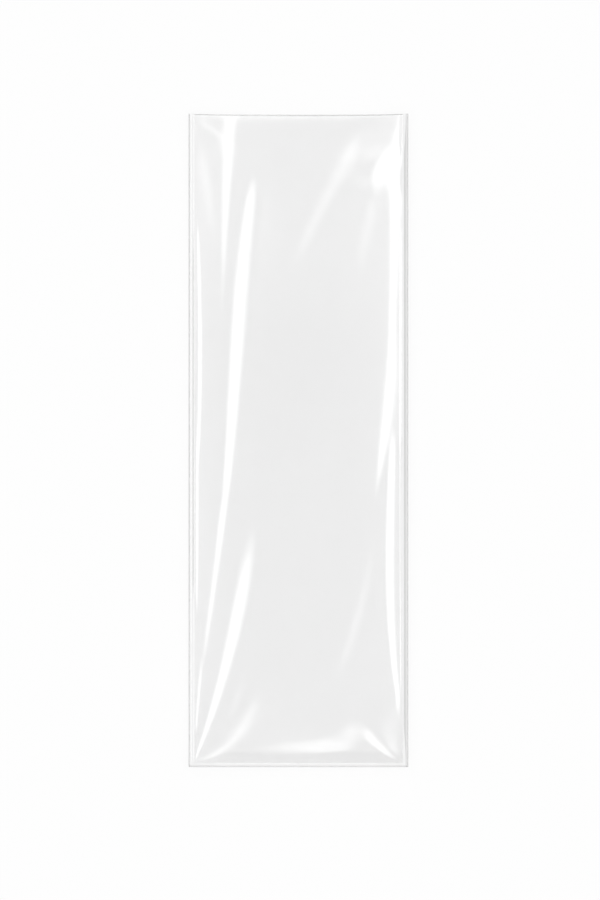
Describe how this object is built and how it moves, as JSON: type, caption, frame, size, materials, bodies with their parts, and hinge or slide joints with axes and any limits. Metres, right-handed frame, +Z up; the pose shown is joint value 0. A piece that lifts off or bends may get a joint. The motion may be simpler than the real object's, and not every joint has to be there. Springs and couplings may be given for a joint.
{
  "type": "clear film bag",
  "caption": "Long clear film bag for food, sealed along both sides and the bottom and open at the top, lying slightly puffed with soft folds from its corners.",
  "frame": {"origin": "on the ground under the middle of the bag", "axes": "+X across the bag to its right side seal, +Y along the bag to its open mouth, +Z up out of the front sheet"},
  "size_m": [0.1, 0.298, 0.008],
  "materials": {
    "clear_film": "clear and glossy"
  },
  "bodies": {
    "root": {"film_bag": "clear_film"}
  },
  "joints": []
}
